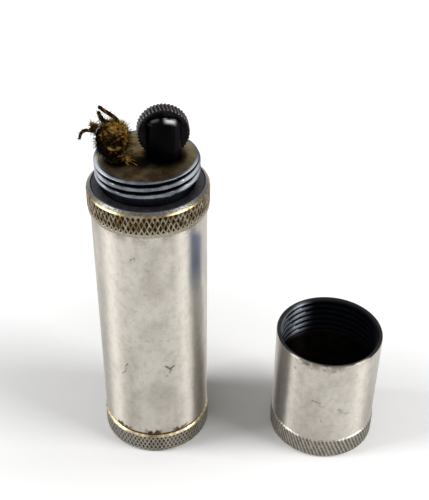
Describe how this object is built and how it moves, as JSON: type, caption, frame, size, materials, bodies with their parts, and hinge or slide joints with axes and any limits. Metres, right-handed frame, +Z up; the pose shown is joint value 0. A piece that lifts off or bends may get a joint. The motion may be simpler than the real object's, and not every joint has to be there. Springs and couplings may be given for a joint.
{
  "type": "windproof lighter",
  "caption": "Cylindrical petrol lighter with a knurled collar and screw base, rope wick, striker wheel in a slotted post, and its screw cap standing beside it.",
  "frame": {"origin": "centre of the flat underside of the knurled base, on the case's axis", "axes": "+Z up along the case's axis; the wick is on the -X side of the top plate, the striker wheel on the +X side, its axle along Y"},
  "size_m": [0.0505, 0.0244, 0.067],
  "materials": {
    "plated_tube": "satin nickel plate, worn and finely scratched",
    "plated_knurl": "knurled nickel plate with dark dirt in the cuts",
    "worn_knurl": "knurled nickel plate, stained brown, base metal showing",
    "dark_head": "blue-grey oxidised metal, top stained brown",
    "black_washer": "dark matt washer",
    "inner_brass": "plain turned brass",
    "rope": "frayed and charred cotton rope",
    "black_post": "smooth blackened steel",
    "plain_steel": "plain drawn steel",
    "wheel_steel": "hardened steel, sooty, with bright tooth edges",
    "flint_metal": "dull grey flint metal",
    "cotton": "packed cotton",
    "felt": "pressed felt"
  },
  "bodies": {
    "case": {"tank_tube": "plated_tube", "collar": "worn_knurl", "burner_head": "dark_head", "neck_gasket": "black_washer", "wick_tube": "inner_brass", "wick": "rope", "wheel_post": "black_post", "post_nut": "inner_brass", "wheel_axle": "plain_steel", "flint_tube": "inner_brass", "wadding": "cotton", "felt_pad": "felt", "base_bush": "inner_brass"},
    "wheel": {"striker_wheel": "wheel_steel"},
    "flint": {"flint": "flint_metal", "flint_follower": "inner_brass"},
    "spring": {"flint_spring": "plain_steel"},
    "flint_screw": {"flint_screw": "inner_brass"},
    "base_washer": {"base_gasket": "black_washer"},
    "base": {"base_cap": "plated_knurl"},
    "cap": {"cap_tube": "plated_tube", "cap_end": "plated_knurl"}
  },
  "joints": [
    {"name": "wheel_spin", "type": "hinge", "parent": "case", "child": "wheel", "pos_m": [0.00262, 0, 0.06231], "axis": [0, 1, 0], "continuous": true},
    {"name": "base_travel", "type": "slide", "parent": "case", "child": "base_washer", "axis": [0, 0, -1], "range_m": [0, 0.00382]},
    {"name": "base_turn", "type": "hinge", "parent": "base_washer", "child": "base", "pos_m": [0, 0, 0], "axis": [0, 0, -1], "range_deg": [0, 1080]},
    {"name": "screw_travel", "type": "slide", "parent": "case", "child": "spring", "axis": [0, 0, -1], "range_m": [0, 0.003], "deforming": ["flint_spring"]},
    {"name": "screw_turn", "type": "hinge", "parent": "spring", "child": "flint_screw", "pos_m": [0.00262, 0, 0.00875], "axis": [0, 0, -1], "range_deg": [0, 2161]},
    {"name": "flint_feed", "type": "slide", "parent": "case", "child": "flint", "axis": [0, 0, 1], "range_m": [-0.0015, 0], "stiffness_N_per_m": 300, "deforming": ["flint_spring"]},
    {"name": "cap_turnover", "type": "hinge", "parent": "case", "child": "cap", "pos_m": [0.01551, -0.00246, 0.0464], "axis": [-0.1564, -0.9877, 0], "range_deg": [0, 180]}
  ],
  "couplings": [
    {"joint": "base_travel", "follows": "base_turn", "m_per_rad": 0.00020213},
    {"joint": "screw_turn", "follows": "screw_travel", "rad_per_m": 12566}
  ]
}
